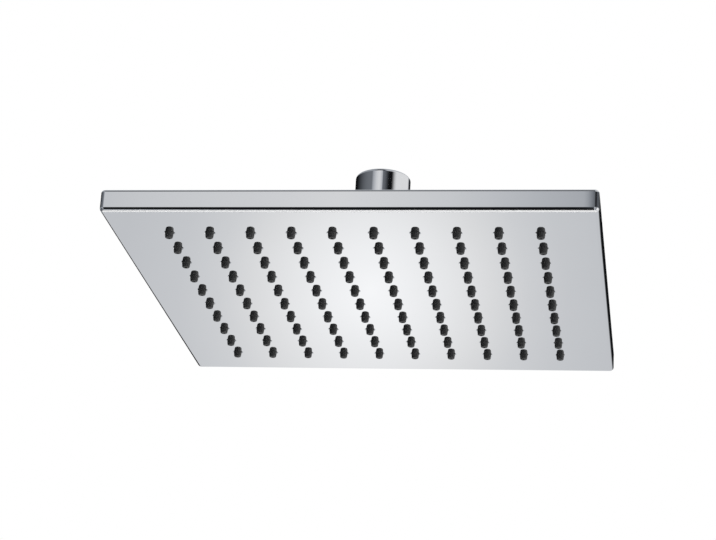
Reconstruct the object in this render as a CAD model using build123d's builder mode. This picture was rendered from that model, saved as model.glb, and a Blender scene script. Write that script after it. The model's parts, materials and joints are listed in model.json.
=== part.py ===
from build123d import *
from math import acos, asin, cos, degrees, radians, sin, sqrt, tan
import os

os.makedirs("parts", exist_ok=True)

# Square rain shower head with rubber nozzles and a ball-swivel inlet, in millimetres.
# The origin is the centre of the inlet mouth, +Z points up out of the mouth, and the spray
# face looks down.

# Plate
side = 200.0                # width and depth of the square plate
plate_height = 9.3          # spray face to back
corner_margin = 0.4         # upright corners' radius beyond that of the edges
recess_corner = 1.5         # upright corners of the recess and of what lies in it
face_edge_radius = 1.6      # rounding between spray face and sides
back_edge_radius = 1.2      # rounding between sides and back
face_wall = 2.0             # thickness of the spray face
rim_wall = 2.4              # side wall beside the cover
ledge_width = 2.0           # step inside the wall, under the cover
cover_thickness = 2.2
cover_gap = 0.15            # seam round the cover
snap_depth = 0.4            # bead on the cover's edge that snaps into the wall
snap_height = 0.8
snap_drop = 0.7             # back of the plate down to the bead
seal_thickness = 0.8
mat_thickness = 1.2
clamp_thickness = 1.4
lay_in_gap = 0.2            # side gap of the mat, the clamp plate and the seal
post_radius = 2.5           # posts under the cover that press on the clamp plate
post_columns = 4
post_spacing = 44.0         # from one column of posts to the next
rib_width = 1.4             # ribs along the columns of posts
rib_height = 1.2

# Nozzles
nozzle_pitch = 16.9
nozzle_border = 22.0        # least distance from the plate's side to a nozzle
nozzle_hole_radius = 2.0
nozzle_fit = 0.1            # gap between a nozzle's root and its hole
nozzle_radius = 1.85        # just below the face
nozzle_tip_radius = 1.55
nozzle_length = 2.4         # face to tip
outlet_radius = 0.55
slot_width = 5.0            # slots in the clamp plate, one above each row of nozzles

# Ball swivel
tilt_limit = 15.0           # degrees, about each of the two level axes
ball_radius = 9.5
ball_play = 0.2             # gap between the ball, its seats and the cavity
seat_thickness = 1.8
upper_seat_rise = 8.0       # degrees from the ball's equator up to the upper seat
lower_seal_drop = 20.0      # degrees from the ball's equator down to the lower seal
seal_margin = 3.0           # degrees that the lower seal keeps from the ball's outlet
stem_radius = 5.2
water_radius = 3.5          # bore of the ball and its stem
lip_clearance = 0.4         # stem to the nut's lip at full tilt
lip_depth = 2.5             # height of the nut's flared mouth
swing_clearance = 0.55      # collar to nut at full tilt
split_drop = 0.5            # ball centre down to the top of the spigot
split_gap = 0.3             # top of the spigot to the nut's shoulder
spigot_wall = 1.9
thread_gap = 0.1            # spigot to nut
nut_wall = 2.8
nut_edge_radius = 0.8
nut_foot_chamfer = 0.5
nut_seat_gap = 0.4          # boss to nut
flat_depth = 1.3            # wrench flats on the nut
flat_height = 9.0
boss_step = 2.5             # width of the boss round the nut
boss_height = 3.2
boss_root_radius = 2.6
boss_edge_radius = 0.5
cup_floor = 3.5             # back of the plate up to the bottom of the ball's cavity
waterway_radius = 5.8       # hole from the cavity into the plate

# Inlet
collar_radius = 12.2
collar_length = 16.0
collar_rim_radius = 1.4     # rounding at the mouth
collar_foot_radius = 0.8    # rounding above the shoulder
thread_radius = 9.32        # crest radius of a half-inch pipe thread
thread_depth = 11.5
relief_width = 1.3          # groove behind the thread that keeps the washer
washer_thickness = 2.0
washer_bore_radius = 6.3
washer_gap = 0.2            # round the washer and above it
filter_thickness = 0.8
filter_gap = 0.2            # strainer disc to thread, so that it drops in
filter_hole_radius = 0.7
filter_hole_pitch = 2.0
filter_hole_rings = 2       # round the middle hole
filter_ring_step = 6        # holes that each ring has more than the one inside it
restrictor_radius = 4.5
restrictor_height = 2.6
restrictor_gap = 0.1
restrictor_post_radius = 1.4
restrictor_wall = 0.7
restrictor_groove_depth = 1.6
restrictor_hole_radius = 0.5
restrictor_hole_count = 6
restrictor_ring_radius = 0.65

# Radii and angles of the swivel, out from the ball
seat_inner_radius = ball_radius + ball_play
seat_outer_radius = seat_inner_radius + seat_thickness
cavity_radius = seat_outer_radius + ball_play
spigot_radius = cavity_radius + spigot_wall
nut_bore_radius = spigot_radius + thread_gap
nut_radius = nut_bore_radius + nut_wall
boss_radius = nut_radius + boss_step
corner_tilt = acos(cos(radians(tilt_limit)) ** 2)
lip_angle = degrees(corner_tilt + asin((stem_radius + lip_clearance) / cavity_radius))
upper_seat_angle = degrees(corner_tilt + asin((stem_radius + lip_clearance) / seat_inner_radius))
lower_seal_angle = 180.0 - seal_margin - degrees(corner_tilt + asin(water_radius / ball_radius))

# Heights of the swivel, up from the ball centre
lip_height = cavity_radius * cos(radians(lip_angle))
nut_rise = lip_height + lip_depth
mouth_radius = nut_rise * tan(corner_tilt) + (stem_radius + lip_clearance) / cos(corner_tilt)
shoulder_base = nut_rise / cos(corner_tilt) + swing_clearance
shoulder_outer_height = shoulder_base + collar_radius * tan(corner_tilt)
shoulder_inner_height = shoulder_base + stem_radius * tan(corner_tilt)

# Levels, down from the inlet mouth
relief_level = -thread_depth
relief_depth = washer_thickness + filter_thickness + washer_gap
inlet_floor = relief_level - relief_depth
restrictor_level = inlet_floor - restrictor_height
ball_level = -collar_length - shoulder_outer_height
back_level = ball_level - cavity_radius - cup_floor
boss_level = back_level + boss_height
spigot_level = ball_level - split_drop
nut_foot_level = boss_level + nut_seat_gap
cover_level = back_level - cover_thickness
ledge_level = cover_level - seal_thickness
face_level = back_level - plate_height
mat_level = face_level + face_wall
clamp_level = mat_level + mat_thickness
chamber_level = clamp_level + clamp_thickness
tip_level = face_level - nozzle_length

# Plan sizes of the plate
corner_radius = max(face_edge_radius, back_edge_radius) + corner_margin
recess_side = side - 2 * rim_wall
well_side = recess_side - 2 * ledge_width
cover_side = recess_side - 2 * cover_gap
lay_in_side = well_side - 2 * lay_in_gap
nozzle_count = int((side - 2 * nozzle_border) / nozzle_pitch) + 1
slot_length = (nozzle_count - 1) * nozzle_pitch + slot_width
relief_radius = thread_radius + relief_width


def on_sphere(radius, angle):
    """Point (r, z) at an angle from straight up, on a sphere about the ball centre."""
    return (radius * sin(radians(angle)), ball_level + radius * cos(radians(angle)))


def ring_section(start_angle, end_angle):
    """Draw the section of a ball seat between two angles from straight up."""
    middle = (start_angle + end_angle) / 2
    inner = ThreePointArc(
        on_sphere(seat_inner_radius, start_angle),
        on_sphere(seat_inner_radius, middle),
        on_sphere(seat_inner_radius, end_angle),
    )
    outer = ThreePointArc(
        on_sphere(seat_outer_radius, start_angle),
        on_sphere(seat_outer_radius, middle),
        on_sphere(seat_outer_radius, end_angle),
    )
    Line(inner @ 0, outer @ 0)
    Line(inner @ 1, outer @ 1)


# Face shell: the chrome tray, open at the back, with a hole for each nozzle
with BuildPart() as face_shell:
    with BuildSketch(Plane.XY.offset(face_level)):
        RectangleRounded(side, side, corner_radius)
    extrude(amount=plate_height)
    fillet(face_shell.edges().group_by(Axis.Z)[0], face_edge_radius)
    fillet(face_shell.edges().group_by(Axis.Z)[-1], back_edge_radius)
    with BuildSketch(Plane.XY.offset(mat_level)):
        RectangleRounded(well_side, well_side, recess_corner)
    extrude(until=Until.LAST, mode=Mode.SUBTRACT)
    with BuildSketch(Plane.XY.offset(ledge_level)):
        RectangleRounded(recess_side, recess_side, recess_corner)
    extrude(until=Until.LAST, mode=Mode.SUBTRACT)
    with BuildSketch(Plane.XY.offset(back_level - snap_drop + cover_gap)):
        RectangleRounded(recess_side + 2 * snap_depth, recess_side + 2 * snap_depth, recess_corner)
    extrude(amount=-snap_height - 2 * cover_gap, mode=Mode.SUBTRACT)
    with BuildSketch(Plane.XY.offset(face_level)):
        with GridLocations(nozzle_pitch, nozzle_pitch, nozzle_count, nozzle_count):
            Circle(nozzle_hole_radius)
    extrude(amount=face_wall, mode=Mode.SUBTRACT)
face_shell.part.label = "face_shell"
export_step(face_shell.part, "parts/face_shell.step")

# Nozzle mat: a rubber sheet on the inside of the face, with a stepped nozzle through each hole
with BuildPart() as nozzle_mat:
    with BuildSketch(Plane.XY.offset(mat_level)):
        RectangleRounded(lay_in_side, lay_in_side, recess_corner)
    extrude(amount=mat_thickness)
    with BuildSketch(Plane.XY.offset(face_level)):
        with GridLocations(nozzle_pitch, nozzle_pitch, nozzle_count, nozzle_count):
            Circle(nozzle_hole_radius - nozzle_fit)
    extrude(amount=face_wall)
    with Locations((0, 0, (face_level + tip_level) / 2)):
        with GridLocations(nozzle_pitch, nozzle_pitch, nozzle_count, nozzle_count):
            Cone(nozzle_tip_radius, nozzle_radius, nozzle_length)
    with BuildSketch(Plane.XY.offset(tip_level)):
        with GridLocations(nozzle_pitch, nozzle_pitch, nozzle_count, nozzle_count):
            Circle(outlet_radius)
    extrude(amount=nozzle_length + face_wall + mat_thickness, mode=Mode.SUBTRACT)
nozzle_mat.part.label = "nozzle_mat"
export_step(nozzle_mat.part, "parts/nozzle_mat.step")

# Clamp plate: holds the mat on the face and lets the water in through a slot above each row
with BuildPart() as clamp_plate:
    with BuildSketch(Plane.XY.offset(clamp_level)):
        RectangleRounded(lay_in_side, lay_in_side, recess_corner)
        with GridLocations(nozzle_pitch, nozzle_pitch, 1, nozzle_count):
            SlotOverall(slot_length, slot_width, mode=Mode.SUBTRACT)
    extrude(amount=clamp_thickness)
clamp_plate.part.label = "clamp_plate"
export_step(clamp_plate.part, "parts/clamp_plate.step")

# Rim seal: the flat gasket on the tray's ledge
with BuildPart() as rim_seal:
    with BuildSketch(Plane.XY.offset(ledge_level)):
        RectangleRounded(recess_side - 2 * lay_in_gap, recess_side - 2 * lay_in_gap, recess_corner)
        RectangleRounded(well_side, well_side, recess_corner, mode=Mode.SUBTRACT)
    extrude(amount=seal_thickness)
rim_seal.part.label = "rim_seal"
export_step(rim_seal.part, "parts/rim_seal.step")

# Back cover: the lid of the tray, with its snap bead, posts, ribs and the hub of the swivel
with BuildPart() as back_cover:
    with BuildSketch(Plane.XY.offset(cover_level)):
        RectangleRounded(cover_side, cover_side, recess_corner)
    extrude(amount=cover_thickness)
    with BuildSketch(Plane.XY.offset(back_level - snap_drop)):
        RectangleRounded(cover_side + 2 * snap_depth, cover_side + 2 * snap_depth, recess_corner)
    extrude(amount=-snap_height)
    with BuildSketch(Plane.XY.offset(cover_level)):
        with GridLocations(post_spacing, nozzle_pitch, post_columns, nozzle_count - 1):
            Circle(post_radius)
    extrude(amount=chamber_level - cover_level)
    with BuildSketch(Plane.XY.offset(cover_level)):
        with GridLocations(post_spacing, post_spacing, post_columns, 1):
            Rectangle(rib_width, (nozzle_count - 2) * nozzle_pitch)
    extrude(amount=-rib_height)
    with BuildSketch(Plane.XZ):
        with BuildLine():
            root = RadiusArc(
                (boss_radius + boss_root_radius, back_level),
                (boss_radius, back_level + boss_root_radius),
                boss_root_radius,
            )
            Polyline(
                root @ 1,
                (boss_radius, boss_level),
                (spigot_radius, boss_level),
                (spigot_radius, spigot_level),
                (0, spigot_level),
                (0, back_level),
                root @ 0,
            )
        make_face()
    revolve(axis=Axis.Z)
    boss_rim = back_cover.edges().filter_by(GeomType.CIRCLE).filter_by_position(
        Axis.Z, boss_level, boss_level
    )
    fillet(boss_rim.sort_by(SortBy.RADIUS)[-1], boss_edge_radius)
    with Locations((0, 0, ball_level)):
        Sphere(cavity_radius, mode=Mode.SUBTRACT)
    with BuildSketch(Plane.XY.offset(ball_level)):
        Circle(waterway_radius)
    extrude(amount=chamber_level - ball_level, mode=Mode.SUBTRACT)
back_cover.part.label = "back_cover"
export_step(back_cover.part, "parts/back_cover.step")

# Swivel nut: screws on the hub and keeps the ball in, with a mouth flared for the stem's tilt
with BuildPart() as swivel_nut:
    shoulder_level = spigot_level + split_gap
    shoulder_radius = sqrt(cavity_radius**2 - (shoulder_level - ball_level) ** 2)
    shoulder_angle = degrees(acos((shoulder_level - ball_level) / cavity_radius))
    with BuildSketch(Plane.XZ):
        with BuildLine():
            cavity = ThreePointArc(
                (shoulder_radius, shoulder_level),
                on_sphere(cavity_radius, (shoulder_angle + lip_angle) / 2),
                on_sphere(cavity_radius, lip_angle),
            )
            Polyline(
                cavity @ 1,
                (mouth_radius, ball_level + nut_rise),
                (nut_radius, ball_level + nut_rise),
                (nut_radius, nut_foot_level),
                (nut_bore_radius, nut_foot_level),
                (nut_bore_radius, shoulder_level),
                cavity @ 0,
            )
        make_face()
    revolve(axis=Axis.Z)
    fillet(swivel_nut.edges().group_by(Axis.Z)[-1].sort_by(SortBy.RADIUS)[-1], nut_edge_radius)
    chamfer(swivel_nut.edges().group_by(Axis.Z)[0].sort_by(SortBy.RADIUS)[-1], nut_foot_chamfer)
    with BuildSketch(Plane.XY.offset(nut_foot_level)):
        Circle(boss_radius)
        Rectangle(2 * boss_radius, 2 * (nut_radius - flat_depth), mode=Mode.SUBTRACT)
    extrude(amount=flat_height, mode=Mode.SUBTRACT)
swivel_nut.part.label = "swivel_nut"
export_step(swivel_nut.part, "parts/swivel_nut.step")

# Upper ball seat: the plastic ring between ball and nut
with BuildPart() as upper_ball_seat:
    with BuildSketch(Plane.XZ):
        with BuildLine():
            ring_section(upper_seat_angle, 90.0 - upper_seat_rise)
        make_face()
    revolve(axis=Axis.Z)
upper_ball_seat.part.label = "upper_ball_seat"
export_step(upper_ball_seat.part, "parts/upper_ball_seat.step")

# Lower ball seal: the rubber ring between ball and hub
with BuildPart() as lower_ball_seal:
    with BuildSketch(Plane.XZ):
        with BuildLine():
            ring_section(90.0 + lower_seal_drop, lower_seal_angle)
        make_face()
    revolve(axis=Axis.Z)
lower_ball_seal.part.label = "lower_ball_seal"
export_step(lower_ball_seal.part, "parts/lower_ball_seal.step")

# Ball connector: the turned inlet, with its threaded collar, stem and hollow ball
with BuildPart() as ball_connector:
    counterbore_radius = restrictor_radius + restrictor_gap
    with BuildSketch(Plane.XZ):
        with BuildLine():
            outside = Polyline(
                (thread_radius, 0),
                (collar_radius, 0),
                (collar_radius, -collar_length),
                (stem_radius, ball_level + shoulder_inner_height),
                on_sphere(ball_radius, degrees(asin(stem_radius / ball_radius))),
            )
            ball = ThreePointArc(
                outside @ 1,
                (ball_radius, ball_level),
                on_sphere(ball_radius, 180.0 - degrees(asin(water_radius / ball_radius))),
            )
            Polyline(
                ball @ 1,
                (water_radius, restrictor_level),
                (counterbore_radius, restrictor_level),
                (counterbore_radius, inlet_floor),
                (relief_radius, inlet_floor),
                (relief_radius, relief_level),
                (thread_radius, relief_level),
                outside @ 0,
            )
        make_face()
    revolve(axis=Axis.Z)
    fillet(ball_connector.edges().group_by(Axis.Z)[-1].sort_by(SortBy.RADIUS)[-1], collar_rim_radius)
    collar_foot = ball_connector.edges().filter_by(GeomType.CIRCLE).filter_by_position(
        Axis.Z, -collar_length, -collar_length
    )
    fillet(collar_foot, collar_foot_radius)
ball_connector.part.label = "ball_connector"
export_step(ball_connector.part, "parts/ball_connector.step")

# Inlet washer: the flat rubber ring that seals the supply pipe
with BuildPart() as inlet_washer:
    with BuildSketch(Plane.XY.offset(inlet_floor + filter_thickness)):
        Circle(relief_radius - washer_gap)
        Circle(washer_bore_radius, mode=Mode.SUBTRACT)
    extrude(amount=washer_thickness)
inlet_washer.part.label = "inlet_washer"
export_step(inlet_washer.part, "parts/inlet_washer.step")

# Filter screen: the strainer disc, with rings of small holes inside the washer's bore
with BuildPart() as filter_screen:
    with BuildSketch(Plane.XY.offset(inlet_floor)):
        Circle(thread_radius - filter_gap)
        Circle(filter_hole_radius, mode=Mode.SUBTRACT)
        for ring in range(1, filter_hole_rings + 1):
            with PolarLocations(ring * filter_hole_pitch, filter_ring_step * ring):
                Circle(filter_hole_radius, mode=Mode.SUBTRACT)
    extrude(amount=filter_thickness)
filter_screen.part.label = "filter_screen"
export_step(filter_screen.part, "parts/filter_screen.step")

# Flow restrictor: a plastic insert with a ring groove and small holes in the groove's floor
restrictor_groove_radius = restrictor_radius - restrictor_wall
restrictor_groove_middle = (restrictor_post_radius + restrictor_groove_radius) / 2
with BuildPart() as flow_restrictor:
    with BuildSketch(Plane.XY.offset(restrictor_level)):
        Circle(restrictor_radius)
        with PolarLocations(restrictor_groove_middle, restrictor_hole_count):
            Circle(restrictor_hole_radius, mode=Mode.SUBTRACT)
    extrude(amount=restrictor_height)
    with BuildSketch(Plane.XY.offset(inlet_floor)):
        Circle(restrictor_groove_radius)
        Circle(restrictor_post_radius, mode=Mode.SUBTRACT)
    extrude(amount=-restrictor_groove_depth, mode=Mode.SUBTRACT)
flow_restrictor.part.label = "flow_restrictor"
export_step(flow_restrictor.part, "parts/flow_restrictor.step")

# Restrictor ring: the rubber ring that lies in the restrictor's groove
with BuildPart() as restrictor_ring:
    with BuildSketch(Plane.XZ):
        groove_floor = inlet_floor - restrictor_groove_depth
        with Locations((restrictor_groove_middle, groove_floor + restrictor_ring_radius)):
            Circle(restrictor_ring_radius)
    revolve(axis=Axis.Z)
restrictor_ring.part.label = "restrictor_ring"
export_step(restrictor_ring.part, "parts/restrictor_ring.step")
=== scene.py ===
import json
import math

import bpy
from mathutils import Matrix, Vector


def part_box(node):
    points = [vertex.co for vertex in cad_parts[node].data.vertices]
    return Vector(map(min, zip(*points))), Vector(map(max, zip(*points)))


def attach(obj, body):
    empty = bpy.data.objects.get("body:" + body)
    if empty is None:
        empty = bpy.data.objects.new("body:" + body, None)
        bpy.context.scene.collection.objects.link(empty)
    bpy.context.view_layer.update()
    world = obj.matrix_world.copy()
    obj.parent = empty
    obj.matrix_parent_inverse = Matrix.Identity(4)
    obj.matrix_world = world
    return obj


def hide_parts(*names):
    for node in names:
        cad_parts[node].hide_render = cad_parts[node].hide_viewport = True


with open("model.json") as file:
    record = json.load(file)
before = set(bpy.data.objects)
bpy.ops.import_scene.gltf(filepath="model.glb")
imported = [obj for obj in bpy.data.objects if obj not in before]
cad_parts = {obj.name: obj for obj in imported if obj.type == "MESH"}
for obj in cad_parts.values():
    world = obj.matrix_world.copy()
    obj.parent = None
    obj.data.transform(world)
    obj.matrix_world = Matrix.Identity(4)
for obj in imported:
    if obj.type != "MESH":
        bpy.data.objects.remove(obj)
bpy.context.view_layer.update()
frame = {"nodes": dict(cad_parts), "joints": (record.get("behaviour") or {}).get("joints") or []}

# Square rain shower head with rubber nozzles and a ball-swivel inlet. Lengths are in metres.
# The origin is the centre of the inlet mouth, +Z points up, and the spray face looks down.

shell_low, shell_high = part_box("face_shell")
mat_low, mat_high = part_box("nozzle_mat")
_, connector_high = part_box("ball_connector")
face_level, back_level = shell_low.z, shell_high.z

# Face shell
shell_corner = 0.0020                   # upright corners
face_edge_radius = 0.0016
back_edge_radius = 0.0012
face_wall = 0.0020
rim_wall = 0.0024
recess_corner = 0.0015
ledge_width = 0.0020
ledge_drop = 0.0030                     # back down to the ledge under the cover
groove_depth = 0.0004                   # groove in the wall for the cover's snap bead
groove_top_drop, groove_foot_drop = 0.00055, 0.00165
nozzle_hole_radius = 0.0020
nozzle_sink_width = 0.00045             # shallow countersink round a nozzle hole
nozzle_sink_depth = 0.0002
nozzle_sink_rounding = 0.0001
nozzle_hole_land = 0.0003               # flat ring round it, before the cell's wider faces

# Nozzle mat
nozzle_pitch = 0.0169
nozzle_count = 10                       # along each side of the square
mat_thickness = 0.0012
nozzle_root_radius = 0.0019             # inside the hole of the face
nozzle_radius = 0.00185                 # just below the face
nozzle_tip_radius = 0.00155
nozzle_tip_rounding = 0.0006
outlet_radius = 0.00055
outlet_rounding = 0.00015
nozzle_segments = 32                    # a multiple of 8, so that the cells of the grid meet
corner_segments = 8                     # in an upright corner

# Turn from one face to the next in a rounding
arc_step = math.radians(9)
edge_step = math.radians(7.5)
sink_step = math.radians(22.5)
nozzle_step = math.radians(15)

# Ball connector
collar_length = 0.016
collar_rim_radius = 0.0014
collar_foot_radius = 0.0008
shoulder_level = -0.0186999             # where the shoulder meets the stem
stem_radius = 0.0052
ball_radius = 0.0095
ball_level = frame["joints"][0]["pos_m"][2]
water_radius = 0.0035
thread_radius = 0.00932                 # crest of a half-inch pipe thread
thread_depth = 0.00116
thread_pitch = 0.001814
thread_length = 0.0115
thread_run_out = 0.0011                 # length in which the thread fades at each end
thread_rows = 128
ball_steps = 24                         # from the water way to the stem
relief_radius = 0.01062
inlet_floor = -0.0145
counterbore_radius = 0.0046
restrictor_level = -0.0171
lathe_segments = 128

# View of the photograph, 716 by 540 pixels
view_turn = 8.947                       # degrees to the right of the plate's middle
view_drop = 20.554                      # degrees below the plate, looking up
view_roll = math.radians(3.40)
view_distance = 0.97697
view_near = 0.01                        # nearest distance that the camera shows
view_lens, view_sensor = 111.88, 36.0   # millimetres
view_target = Vector((-0.008974, 0.0, 0.012889 + face_level))   # in the middle of the picture

# Floor under the head
floor_drop = 1.4                        # spray face down to the floor
floor_centre = (0.0, 0.8)
floor_radius = 1.8
floor_fade, floor_end = 0.45, 0.98      # shares of the radius where the floor starts to fade and ends
floor_rings, floor_segments = 12, 96
floor_tones = (0.94, 0.97)

# Studio that the chrome mirrors. Turns and rises are in degrees: turn 0 is the camera's side and
# turn 90 is +X. A panel has a level, the turn that it faces, and for turns from there and for rises
# where it starts, is full, starts to fade and ends.
soft_light = (0.03, 2.6)                # plain light on matt surfaces, from the left and from the right
soft_light_span = (-0.25, 0.65)         # sideways part of a direction where each of these is reached
studio_dark = 0.006
panels = (
    (0.17, 0, (-135, -45, -30, 0), (16, 21, 24, 26)),       # wash on the camera's left
    (0.40, -90, (-62, -40, 40, 62), (0, 6, 16, 21)),        # strip along the left
    (0.12, -90, (-65, -45, 45, 65), (-91, -90, -4, 6)),     # left, low
    (0.45, 0, (-45, -35, -28, -18), (-91, -90, 16, 21)),    # camera's side, left of the dark gap
    (0.45, 0, (-2.8, -0.8, 35, 50), (-91, -90, 16, 21)),    # camera's side, right of the gap
    (0.15, 0, (-14, 0, 7, 34), (17, 20, 25, 28)),           # glow right of the card
    (0.70, 95, (-50, -25, 45, 62), (-91, -90, 16, 21)),     # soft box on the right
    (0.30, 85, (-30, -15, 15, 30), (-50, -30, -5, 8)),      # its bright middle
    (0.09, 100, (-50, -35, 45, 60), (18, 21, 25, 27)),      # fill above the soft box
    (0.60, 180, (-45, -28, 28, 45), (-91, -90, 15, 20)),    # backdrop behind the head
    (0.55, 110, (-102, -80, 85, 105), (24.5, 29, 62, 75)),  # high panels on the right and behind
    (0.35, -90, (-75, -55, 53, 68), (24.5, 29, 62, 75)),    # dimmer ones on the left
    (0.45, 0, (-182, -181, 181, 182), (64, 78, 91, 92)),    # ceiling
)
spot_turn, spot_rise = -171.47, -20.06  # lamp glow on the backdrop
spot_falloff = ((0, 0.455), (1, 0.385), (2, 0.30), (3, 0.20), (4, 0.10), (5, 0.04), (6.5, 0.0))
dark_tint = (0.91, 1.0, 1.15)
pale_tint = (0.993, 1.0, 1.015)
pale_level = 0.8                        # where the pale tint is full

# Upright cards that only reflections show: a lit one on the camera's side and one on the right, and two
# dark ones behind the head. Each has the turn that it stands at, its distance from the inlet, the
# stretches of its length and of its height where it starts, is full, starts to fade and ends, and its
# level along its length.
cards = (
    (0, 0.70, (-0.62, -0.48, 0.0729, 0.0730), (0.105, 0.135, 0.37, 0.43), (
        (-0.62, 0.25), (-0.56, 0.29), (-0.33, 0.55), (-0.245, 0.66), (-0.16, 0.71), (-0.104, 0.755),
        (-0.025, 0.66), (0.037, 0.51), (0.0660, 0.45), (0.0730, 0.10),
    )),
    (90, 0.25, (-0.27, -0.10, 0.22, 0.38), (0.070, 0.085, 0.25, 0.32), (
        (-0.27, 0.79), (0.38, 0.79),
    )),
    (180, 0.45, (-0.33, -0.30, -0.110, -0.095), (-0.13, -0.01, 0.12, 0.15), (
        (-0.33, studio_dark), (-0.095, studio_dark),
    )),
    (180, 0.45, (0.165, 0.185, 0.39, 0.42), (-0.165, -0.140, 0.12, 0.15), (
        (0.165, studio_dark), (0.42, studio_dark),
    )),
)

# Finishes
noise_range = (0.3, 0.7)                # values that most of a noise lies between
chrome_tones = ((0.848, 0.852, 0.856, 1.0), (0.860, 0.864, 0.868, 1.0))
chrome_haze = (0.016, 0.030)            # roughness of the plating
chrome_mark_haze = 0.008                # added along the polishing marks
chrome_mark_scale = (40.0, 900.0, 900.0)
chrome_wave_height = 0.0000005          # of the soft waves in the plating


class Graph:
    """Short calls that add shader nodes to a tree and link them."""

    def __init__(self, tree):
        self.tree = tree
        tree.nodes.clear()

    def add(self, kind, inputs=None, **settings):
        node = self.tree.nodes.new(kind)
        for name, value in settings.items():
            setattr(node, name, value)
        for name, value in (inputs or {}).items():
            self.feed(node.inputs[name], value)
        return node

    def feed(self, socket, value):
        """Link a socket to another one, or set its constant value."""
        if isinstance(value, bpy.types.NodeSocket):
            self.tree.links.new(value, socket)
        else:
            socket.default_value = value

    def math(self, operation, *values):
        node = self.add("ShaderNodeMath", operation=operation)
        for socket, value in zip(node.inputs, values):
            self.feed(socket, value)
        return node.outputs[0]

    def spread(self, value, start, end, low=0.0, high=1.0, smooth=False):
        """Map start..end of a value to low..high."""
        node = self.add("ShaderNodeMapRange")
        node.interpolation_type = "SMOOTHSTEP" if smooth else "LINEAR"
        for name, part in zip(
            ("Value", "From Min", "From Max", "To Min", "To Max"), (value, start, end, low, high)
        ):
            self.feed(node.inputs[name], part)
        return node.outputs[0]

    def window(self, value, start, full, fade, end):
        """One between full and fade of a value, and zero before start and after end."""
        rising = self.spread(value, start, full, smooth=True)
        falling = self.spread(value, fade, end, 1.0, 0.0, smooth=True)
        return self.math("MULTIPLY", rising, falling)

    def curve(self, value, stops):
        """Level read from (place, level) stops."""
        start, end = stops[0][0], stops[-1][0]
        node = self.add("ShaderNodeValToRGB", {"Fac": self.spread(value, start, end)})
        elements = node.color_ramp.elements
        while len(elements) < len(stops):
            elements.new(0.5)
        for element, (place, level) in zip(elements, stops):
            element.position = (place - start) / (end - start)
            element.color = (level, level, level, 1.0)
        return node.outputs["Color"]

    def blend(self, factor, first, second, mode="MIX"):
        """Mix of two colours, with its sockets taken by their places because names repeat."""
        node = self.add("ShaderNodeMix", data_type="RGBA", blend_type=mode)
        for index, value in zip((0, 6, 7), (factor, first, second)):
            self.feed(node.inputs[index], value)
        return node.outputs[2]

    def noise(self, vector, scale, detail=4.0):
        node = self.add("ShaderNodeTexNoise", {"Vector": vector, "Scale": scale, "Detail": detail})
        return node.outputs["Fac"]

    def speckle(self, vector, scale, low=0.0, high=1.0, detail=4.0):
        """Noise with its usual range spread over low..high."""
        return self.spread(self.noise(vector, scale, detail), *noise_range, low, high)

    def bump(self, height, distance):
        node = self.add("ShaderNodeBump", {"Height": height, "Distance": distance, "Strength": 1.0})
        return node.outputs["Normal"]

    def studio_colour(self, level):
        """Colour of studio light at a level: cool where it is dark, nearly neutral where it is pale."""
        tint = self.blend(self.spread(level, 0.0, pale_level), tinted(dark_tint), tinted(pale_tint))
        return self.blend(1.0, tint, level, "MULTIPLY")


class Draft:
    """Mesh in the making: shared points, and a normal for each corner of each face."""

    def __init__(self):
        self.numbers = {}
        self.faces = []
        self.normals = []

    def add(self, places, normals):
        """Add a face. Corners that fall together become one."""
        corners = {}
        for place, normal in zip(places, normals):
            key = tuple(round(part, 7) for part in place)
            corners.setdefault(self.numbers.setdefault(key, len(self.numbers)), normal)
        if len(corners) > 2:
            self.faces.append(tuple(corners))
            self.normals.extend(corners.values())

    def strip(self, first, second, first_normals, second_normals):
        """Faces from one closed loop of points to another."""
        for start in range(len(first)):
            after = (start + 1) % len(first)
            self.add(
                (first[start], first[after], second[after], second[start]),
                (first_normals[start], first_normals[after], second_normals[after], second_normals[start]),
            )

    def flat(self, first, second, normal):
        """Level faces from one loop to another."""
        self.strip(first, second, [normal] * len(first), [normal] * len(first))

    def sweep(self, path, loop, outward):
        """Faces along a path of (reach, level, normal before, normal after).

        The loop gives the ring of points at a reach and a level, and outward is the level direction
        at each of them.
        """
        def lean(normal):
            return [(x * normal.x, y * normal.x, normal.y) for x, y in outward]

        for (reach, level, _, first), (far, height, second, _) in zip(path[:-1], path[1:]):
            self.strip(loop(reach, level), loop(far, height), lean(first), lean(second))

    def mesh(self, name):
        """Blender mesh of the faces, with their normals."""
        mesh = bpy.data.meshes.new(name)
        mesh.from_pydata(list(self.numbers), [], self.faces)
        mesh.shade_smooth()
        mesh.normals_split_custom_set(self.normals)
        return mesh


def grey(level):
    return (level, level, level, 1.0)


def tinted(tint):
    return (*tint, 1.0)


def direction_of(turn, rise):
    """Unit vector at a compass turn and a rise, both in degrees."""
    turn, rise = math.radians(turn), math.radians(rise)
    level = math.cos(rise)
    return Vector((math.sin(turn) * level, -math.cos(turn) * level, math.sin(rise)))


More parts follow.
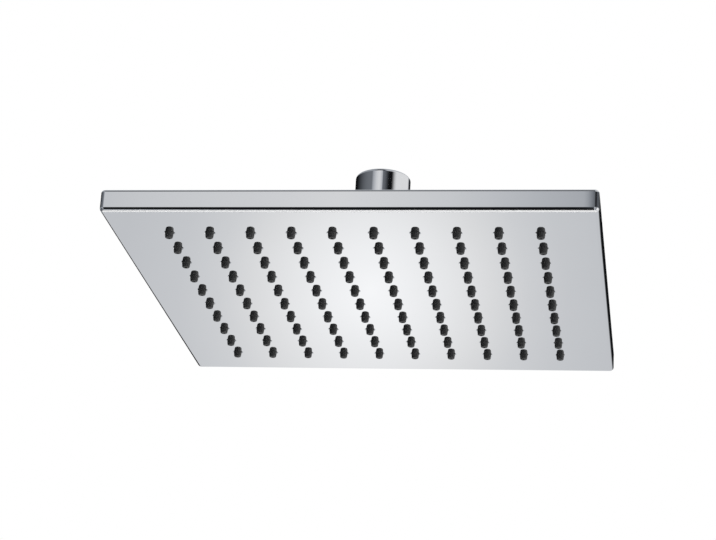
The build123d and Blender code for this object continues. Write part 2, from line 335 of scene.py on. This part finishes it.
def build_world():
    """White behind the head, plain soft light, and a studio of panels for the chrome to mirror."""
    world = bpy.data.worlds.new("studio")
    bpy.context.scene.world = world
    world.use_nodes = True
    graph = Graph(world.node_tree)
    direction = graph.add("ShaderNodeTexCoord").outputs["Generated"]
    parts = graph.add("ShaderNodeSeparateXYZ", {"Vector": direction}).outputs
    turn = graph.math("ARCTAN2", parts["X"], graph.math("MULTIPLY", parts["Y"], -1.0))
    turn = graph.math("DEGREES", turn)
    rise = graph.math("DEGREES", graph.math("ARCSINE", parts["Z"]))

    level = studio_dark
    for height, facing, turns, rises in panels:
        offset = graph.math("WRAP", graph.math("SUBTRACT", turn, float(facing)), 180.0, -180.0)
        cover = graph.math("MULTIPLY", graph.window(offset, *turns), graph.window(rise, *rises))
        level = graph.math("MULTIPLY_ADD", cover, height, level)
    near = graph.add("ShaderNodeVectorMath", operation="DOT_PRODUCT")
    graph.feed(near.inputs[0], direction)
    near.inputs[1].default_value = direction_of(spot_turn, spot_rise)
    away = graph.math("DEGREES", graph.math("ARCCOSINE", near.outputs["Value"]))
    level = graph.math("ADD", level, graph.curve(away, spot_falloff))
    studio = graph.studio_colour(level)

    path = graph.add("ShaderNodeLightPath").outputs
    plain = graph.spread(parts["X"], *soft_light_span, *soft_light, smooth=True)
    lit = graph.blend(path["Is Glossy Ray"], plain, studio)
    seen = graph.math("MAXIMUM", path["Is Camera Ray"], path["Is Transmission Ray"])
    shown = graph.blend(seen, lit, grey(1.0))
    background = graph.add("ShaderNodeBackground", {"Color": shown, "Strength": 1.0})
    output = graph.add("ShaderNodeOutputWorld")
    graph.feed(output.inputs["Surface"], background.outputs[0])


def add_stage(name, mesh, material):
    """Object of the studio, which isn't part of the head."""
    mesh.materials.append(material)
    piece = bpy.data.objects.new(name, mesh)
    bpy.context.collection.objects.link(piece)
    return piece


def build_cards():
    """Lit and dark cards for the chrome's reflections only."""
    for turn, distance, lengths, heights, levels in cards:
        start, end = lengths[0], lengths[-1]
        low, high = heights[0], heights[-1]
        mesh = bpy.data.meshes.new("lit_card")
        places = ((start, low), (start, high), (end, high), (end, low))
        mesh.from_pydata([(x, 0.0, z) for x, z in places], [], [(0, 1, 2, 3)])
        material = bpy.data.materials.new("lit_card")
        material.use_nodes = True
        graph = Graph(material.node_tree)
        place = graph.add("ShaderNodeTexCoord").outputs["Object"]
        parts = graph.add("ShaderNodeSeparateXYZ", {"Vector": place}).outputs
        colour = graph.studio_colour(graph.curve(parts["X"], levels))
        light = graph.add("ShaderNodeEmission", {"Color": colour, "Strength": 1.0})
        clear = graph.add("ShaderNodeBsdfTransparent")
        along, upward = graph.window(parts["X"], *lengths), graph.window(parts["Z"], *heights)
        cover = graph.math("MULTIPLY", along, upward)
        mixed = graph.add("ShaderNodeMixShader", {"Fac": cover})
        graph.feed(mixed.inputs[1], clear.outputs[0])
        graph.feed(mixed.inputs[2], light.outputs[0])
        output = graph.add("ShaderNodeOutputMaterial")
        graph.feed(output.inputs["Surface"], mixed.outputs[0])
        card = add_stage("lit_card", mesh, material)
        card.location = direction_of(turn, 0.0) * distance
        card.rotation_euler.z = math.radians(turn)
        card.visible_camera = False
        card.visible_diffuse = False
        card.visible_transmission = False
        card.visible_shadow = False


def build_floor():
    """Pale round floor that fades out to the white around it."""
    points = [(0.0, 0.0, 0.0)]
    faces = []
    for ring in range(1, floor_rings + 1):
        radius = floor_radius * ring / floor_rings
        for step in range(floor_segments):
            angle = 2 * math.pi * step / floor_segments
            points.append((radius * math.cos(angle), radius * math.sin(angle), 0.0))
    for step in range(floor_segments):
        after = (step + 1) % floor_segments
        faces.append((0, 1 + step, 1 + after))
        for ring in range(floor_rings - 1):
            inner, outer = 1 + ring * floor_segments, 1 + (ring + 1) * floor_segments
            faces.append((inner + step, outer + step, outer + after, inner + after))
    mesh = bpy.data.meshes.new("floor")
    mesh.from_pydata(points, [], faces)

    material = bpy.data.materials.new("pale_floor")
    material.use_nodes = True
    graph = Graph(material.node_tree)
    place = graph.add("ShaderNodeTexCoord").outputs["Object"]
    tone = graph.speckle(place, 90.0, *floor_tones)
    paint = graph.add("ShaderNodeBsdfDiffuse", {"Color": tone})
    length = graph.add("ShaderNodeVectorMath", operation="LENGTH")
    graph.feed(length.inputs[0], place)
    fade = graph.spread(
        length.outputs["Value"], floor_fade * floor_radius, floor_end * floor_radius, smooth=True
    )
    clear = graph.add("ShaderNodeBsdfTransparent")
    mixed = graph.add("ShaderNodeMixShader", {"Fac": fade})
    graph.feed(mixed.inputs[1], paint.outputs[0])
    graph.feed(mixed.inputs[2], clear.outputs[0])
    output = graph.add("ShaderNodeOutputMaterial")
    graph.feed(output.inputs["Surface"], mixed.outputs[0])
    floor = add_stage("floor", mesh, material)
    floor.location = (*floor_centre, face_level - floor_drop)


def build_camera():
    """Camera at the photograph's viewing angle."""
    back = direction_of(view_turn, -view_drop)
    level_right = (-back).cross(Vector((0.0, 0.0, 1.0))).normalized()
    level_up = level_right.cross(-back)
    right = math.cos(view_roll) * level_right + math.sin(view_roll) * level_up
    up = back.cross(right)
    data = bpy.data.cameras.new("photo_view")
    data.sensor_width = view_sensor
    data.sensor_fit = "HORIZONTAL"
    data.lens = view_lens
    data.clip_start = view_near
    camera = bpy.data.objects.new("photo_view", data)
    bpy.context.collection.objects.link(camera)
    place = view_target + back * view_distance
    camera.matrix_world = Matrix((
        (right.x, up.x, back.x, place.x),
        (right.y, up.y, back.y, place.y),
        (right.z, up.z, back.z, place.z),
        (0.0, 0.0, 0.0, 1.0),
    ))
    bpy.context.scene.camera = camera


def start_material(name):
    """New material with its graph, its object coordinates and its shader linked to the output."""
    material = bpy.data.materials.new(name)
    material.use_nodes = True
    graph = Graph(material.node_tree)
    place = graph.add("ShaderNodeTexCoord").outputs["Object"]
    shader = graph.add("ShaderNodeBsdfPrincipled")
    output = graph.add("ShaderNodeOutputMaterial")
    graph.feed(output.inputs["Surface"], shader.outputs[0])
    return material, graph, place, shader.inputs


def chrome():
    """Bright plating: slight haze, fine polishing marks and the soft waves of a plated surface."""
    material, graph, place, shader = start_material("chrome_plate")
    haze = graph.speckle(place, 45.0, *chrome_haze, detail=5.0)
    stretched = graph.add("ShaderNodeMapping", {"Vector": place, "Scale": chrome_mark_scale})
    marks = graph.spread(graph.noise(stretched.outputs[0], 1.0, 3.0), 0.4, 0.8, 0.0, chrome_mark_haze)
    graph.feed(shader["Roughness"], graph.math("ADD", haze, marks))
    shade = graph.speckle(place, 18.0, detail=3.0)
    graph.feed(shader["Base Color"], graph.blend(shade, *chrome_tones))
    shader["Metallic"].default_value = 1.0
    waves = graph.noise(place, 160.0, 2.0)
    graph.feed(shader["Normal"], graph.bump(waves, chrome_wave_height))
    return material


def rubber(name, dark, pale, smoothest, roughest, grain):
    """Moulded rubber with a faint bloom and a fine grain."""
    material, graph, place, shader = start_material(name)
    bloom = graph.spread(graph.noise(place, 260.0, 5.0), 0.35, 0.7)
    graph.feed(shader["Base Color"], graph.blend(bloom, dark, pale))
    graph.feed(shader["Roughness"], graph.speckle(place, 700.0, smoothest, roughest))
    graph.feed(shader["Normal"], graph.bump(graph.noise(place, 3500.0, 3.0), grain))
    return material


def plastic(name, dark, pale, smoothest, roughest, grain):
    """Moulded plastic with faint flow marks and a fine spark-eroded grain."""
    material, graph, place, shader = start_material(name)
    flow = graph.add(
        "ShaderNodeTexWave", {"Vector": place, "Scale": 30.0, "Distortion": 9.0, "Detail": 3.0}
    )
    cloud = graph.math("MULTIPLY", flow.outputs["Fac"], graph.noise(place, 120.0))
    graph.feed(shader["Base Color"], graph.blend(cloud, dark, pale))
    graph.feed(shader["Roughness"], graph.speckle(place, 900.0, smoothest, roughest))
    graph.feed(shader["Normal"], graph.bump(graph.noise(place, 4000.0, 2.0), grain))
    return material


def rounded_path(corners, step=arc_step):
    """Path through (reach, level, rounding) corners, with an arc at each rounded one.

    Each point of the result is (reach, level, normal before, normal after), with the normals on
    the right of the path.
    """
    def right_of(start, end):
        run = (end - start).normalized()
        return Vector((run.y, -run.x))

    spots = [Vector((reach, level)) for reach, level, _ in corners]
    path = []
    for index, (corner, (_, _, rounding)) in enumerate(zip(spots, corners)):
        before = right_of(spots[index - 1], corner) if index else None
        after = right_of(corner, spots[index + 1]) if index + 1 < len(spots) else before
        before = before or after
        turn = before.angle_signed(after)
        if not rounding:
            path.append((corner.x, corner.y, before, after))
            continue
        side = -1.0 if turn < 0 else 1.0
        reach = rounding * math.tan(abs(turn) / 2)
        run = Vector((-before.y, before.x))
        start = corner - run * reach
        centre = start + before * rounding * side
        count = max(2, round(abs(turn) / step))
        for part in range(count + 1):
            normal = before.copy()
            normal.rotate(Matrix.Rotation(-turn * part / count, 2))
            point = centre - normal * rounding * side
            path.append((point.x, point.y, normal, normal))
    return path


def turned(count):
    """Level directions round a circle."""
    angles = [2 * math.pi * step / count for step in range(count)]
    return [(math.cos(angle), math.sin(angle)) for angle in angles]


def square_loops():
    """Function for loops round a square with rounded corners, and the direction out of each point.

    Along the sides the points lie opposite those of the cells that the block of nozzles ends with.
    """
    half_cell = nozzle_pitch / 2
    block = nozzle_count * half_cell
    steps = nozzle_segments // 4
    slants = [math.tan(math.pi / 2 * (step / steps - 0.5)) for step in range(steps)]
    marks = [
        ((2 * cell + 1) * half_cell - block + half_cell * slant) / block
        for cell in range(nozzle_count) for slant in slants
    ] + [1.0]
    bends = [math.pi / 2 * step / corner_segments for step in range(1, corner_segments)]
    quarters = [(1, 0), (0, 1), (-1, 0), (0, -1)]

    def loop(half, corner, level):
        straight = half - corner
        side = [(half, straight * mark) for mark in marks]
        side += [
            (straight + corner * math.cos(bend), straight + corner * math.sin(bend)) for bend in bends
        ]
        return [(x * c - y * s, x * s + y * c, level) for c, s in quarters for x, y in side]

    out = [(1.0, 0.0)] * len(marks) + [(math.cos(bend), math.sin(bend)) for bend in bends]
    return loop, [(x * c - y * s, x * s + y * c) for c, s in quarters for x, y in out]


def pierce(draft, hole, low_outline, high_outline):
    """Both faces of a square with the grid of nozzles, each turned from a path from above to below.

    The outlines are the loops where the faces end.
    """
    up, down = (0.0, 0.0, 1.0), (0.0, 0.0, -1.0)
    high, low = hole[0][1], hole[-1][1]
    round_about = turned(nozzle_segments)
    half_cell = nozzle_pitch / 2
    reaches = [half_cell / max(abs(x), abs(y)) for x, y in round_about]
    cell = [(reach * x, reach * y) for reach, (x, y) in zip(reaches, round_about)]
    middle = (nozzle_count - 1) / 2
    for row in range(nozzle_count):
        for column in range(nozzle_count):
            centre_x, centre_y = (column - middle) * nozzle_pitch, (row - middle) * nozzle_pitch

            def circle(radius, level):
                return [(centre_x + radius * x, centre_y + radius * y, level) for x, y in round_about]

            def edge(level):
                return [(centre_x + x, centre_y + y, level) for x, y in cell]

            draft.flat(edge(high), circle(hole[0][0], high), up)
            draft.sweep(hole, circle, round_about)
            draft.flat(circle(hole[-1][0], low), edge(low), down)
    loop, _ = square_loops()
    block = nozzle_count * half_cell
    draft.flat(loop(block, 0.0, low), low_outline, down)
    draft.flat(high_outline, loop(block, 0.0, high), up)


def add_piece(name, mesh, body, node, material):
    """Show a mesh in place of a node, on its body and in its finish."""
    mesh.materials.append(material)
    piece = bpy.data.objects.new(name, mesh)
    bpy.context.collection.objects.link(piece)
    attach(piece, body)
    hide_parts(node)


def build_face_shell(material):
    """Chrome tray with rounded edges and shallow countersinks at its nozzle holes."""
    half = shell_high.x
    recess = half - rim_wall
    well = recess - ledge_width
    groove = recess + groove_depth
    floor_level = face_level + face_wall
    sink_radius = nozzle_hole_radius + nozzle_sink_width
    square, outward = square_loops()

    def outer(reach, level):
        return square(reach, shell_corner - half + reach, level)

    def inner(reach, level):
        return square(reach, recess_corner, level)

    outside = rounded_path((
        (half - shell_corner, face_level, 0.0),
        (half, face_level, face_edge_radius),
        (half, back_level, back_edge_radius),
        (recess, back_level, 0.0),
    ), edge_step)[:-1]
    inside = rounded_path((
        (recess, back_level, 0.0),
        (recess, back_level - groove_top_drop, 0.0),
        (groove, back_level - groove_top_drop, 0.0),
        (groove, back_level - groove_foot_drop, 0.0),
        (recess, back_level - groove_foot_drop, 0.0),
        (recess, back_level - ledge_drop, 0.0),
        (well, back_level - ledge_drop, 0.0),
        (well, floor_level, 0.0),
    ))
    hole = rounded_path((
        (nozzle_hole_radius, floor_level, 0.0),
        (nozzle_hole_radius, face_level + nozzle_sink_depth, nozzle_sink_rounding),
        (sink_radius, face_level, nozzle_sink_rounding),
        (sink_radius + nozzle_hole_land, face_level, 0.0),
    ), sink_step)
    draft = Draft()
    pierce(draft, hole, outer(*outside[0][:2]), inner(*inside[-1][:2]))
    draft.sweep(outside, outer, outward)
    draft.flat(outer(*outside[-1][:2]), inner(*inside[0][:2]), (0.0, 0.0, 1.0))
    draft.sweep(inside, inner, outward)
    add_piece("chrome_tray", draft.mesh("chrome_tray"), "head", "face_shell", material)


def build_nozzle_mat(material):
    """Rubber sheet with a stepped, round-tipped nozzle through each hole of the face."""
    sheet_low = mat_high.z - mat_thickness
    tip_level = mat_low.z
    nozzle = rounded_path((
        (outlet_radius, mat_high.z, 0.0),
        (outlet_radius, tip_level, outlet_rounding),
        (nozzle_tip_radius, tip_level, nozzle_tip_rounding),
        (nozzle_radius, face_level, 0.0),
        (nozzle_root_radius, face_level, 0.0),
        (nozzle_root_radius, sheet_low, 0.0),
    ), nozzle_step)
    edge = rounded_path(((mat_high.x, sheet_low, 0.0), (mat_high.x, mat_high.z, 0.0)))
    square, outward = square_loops()

    def outline(reach, level):
        return square(reach, recess_corner, level)

    draft = Draft()
    pierce(draft, nozzle, outline(*edge[0][:2]), outline(*edge[-1][:2]))
    draft.sweep(edge, outline, outward)
    add_piece("rubber_mat", draft.mesh("rubber_mat"), "head", "nozzle_mat", material)


def thread_wave(level, angle):
    """Depth of the thread's groove at a level of the bore and an angle round it."""
    phase = (level / thread_pitch - angle / (2 * math.pi)) % 1.0
    groove = 0.5 - 0.5 * math.cos(2 * math.pi * phase)
    ends = min(-level, level + thread_length) / thread_run_out
    return thread_depth * groove * max(0.0, min(1.0, ends))


def build_connector(material):
    """Turned inlet with its pipe thread, collar, stem and hollow ball."""
    collar_radius = connector_high.x
    stem_rise = math.sqrt(ball_radius**2 - stem_radius**2)
    stem_turn = math.asin(stem_radius / ball_radius)
    water_turn = math.pi - math.asin(water_radius / ball_radius)
    ball = []
    for step in range(ball_steps + 1):
        angle = water_turn + (stem_turn - water_turn) * step / ball_steps
        normal = Vector((math.sin(angle), math.cos(angle)))
        ball.append((ball_radius * normal.x, ball_level + ball_radius * normal.y, normal, normal))
    outside = rounded_path((
        (stem_radius, ball_level + stem_rise, 0.0),
        (stem_radius, shoulder_level, 0.0),
        (collar_radius, -collar_length, collar_foot_radius),
        (collar_radius, 0.0, collar_rim_radius),
        (thread_radius, 0.0, 0.0),
    ))
    inside = rounded_path((
        (thread_radius, -thread_length, 0.0),
        (relief_radius, -thread_length, 0.0),
        (relief_radius, inlet_floor, 0.0),
        (counterbore_radius, inlet_floor, 0.0),
        (counterbore_radius, restrictor_level, 0.0),
        (water_radius, restrictor_level, 0.0),
        (water_radius, ball[0][1], 0.0),
    ))
    unset = Vector((0.0, 0.0))          # leaves the normals to the mesh
    levels = [-thread_length * row / thread_rows for row in range(thread_rows + 1)]
    thread = [(thread_radius, level, unset, unset) for level in levels]
    round_about = turned(lathe_segments)

    def circle(radius, level):
        return [(radius * x, radius * y, level) for x, y in round_about]

    def threaded(radius, level):
        reaches = [radius + thread_wave(level, math.atan2(y, x)) for x, y in round_about]
        return [(reach * x, reach * y, level) for reach, (x, y) in zip(reaches, round_about)]

    draft = Draft()
    draft.sweep(ball, circle, round_about)
    draft.sweep(outside, circle, round_about)
    draft.sweep(thread, threaded, round_about)
    draft.sweep(inside, circle, round_about)
    mesh = draft.mesh("inlet_connector")
    add_piece("inlet_connector", mesh, "connector", "ball_connector", material)


def dress(material, *nodes):
    """Give CAD nodes a material."""
    for name in nodes:
        for slot in frame["nodes"][name].material_slots:
            slot.material = material


bpy.context.scene.view_settings.view_transform = "Standard"
build_world()
build_cards()
build_floor()
build_camera()
chrome_plate = chrome()
nozzle_silicone = rubber(
    "nozzle_silicone", dark=grey(0.013), pale=grey(0.019), smoothest=0.34, roughest=0.44, grain=0.000005
)
seal_rubber = rubber(
    "seal_rubber", dark=grey(0.018), pale=grey(0.03), smoothest=0.6, roughest=0.75, grain=0.00001
)
moulded_plastic = plastic(
    "moulded_plastic", dark=grey(0.38), pale=grey(0.46), smoothest=0.45, roughest=0.6, grain=0.00001
)
white_acetal = plastic(
    "white_acetal", dark=(0.83, 0.83, 0.80, 1.0), pale=(0.88, 0.88, 0.86, 1.0),
    smoothest=0.32, roughest=0.42, grain=0.000004,
)
build_face_shell(chrome_plate)
build_connector(chrome_plate)
build_nozzle_mat(nozzle_silicone)
dress(chrome_plate, "back_cover", "swivel_nut")
dress(seal_rubber, "rim_seal", "lower_ball_seal", "inlet_washer", "restrictor_ring")
dress(moulded_plastic, "clamp_plate")
dress(white_acetal, "upper_ball_seat", "filter_screen", "flow_restrictor")
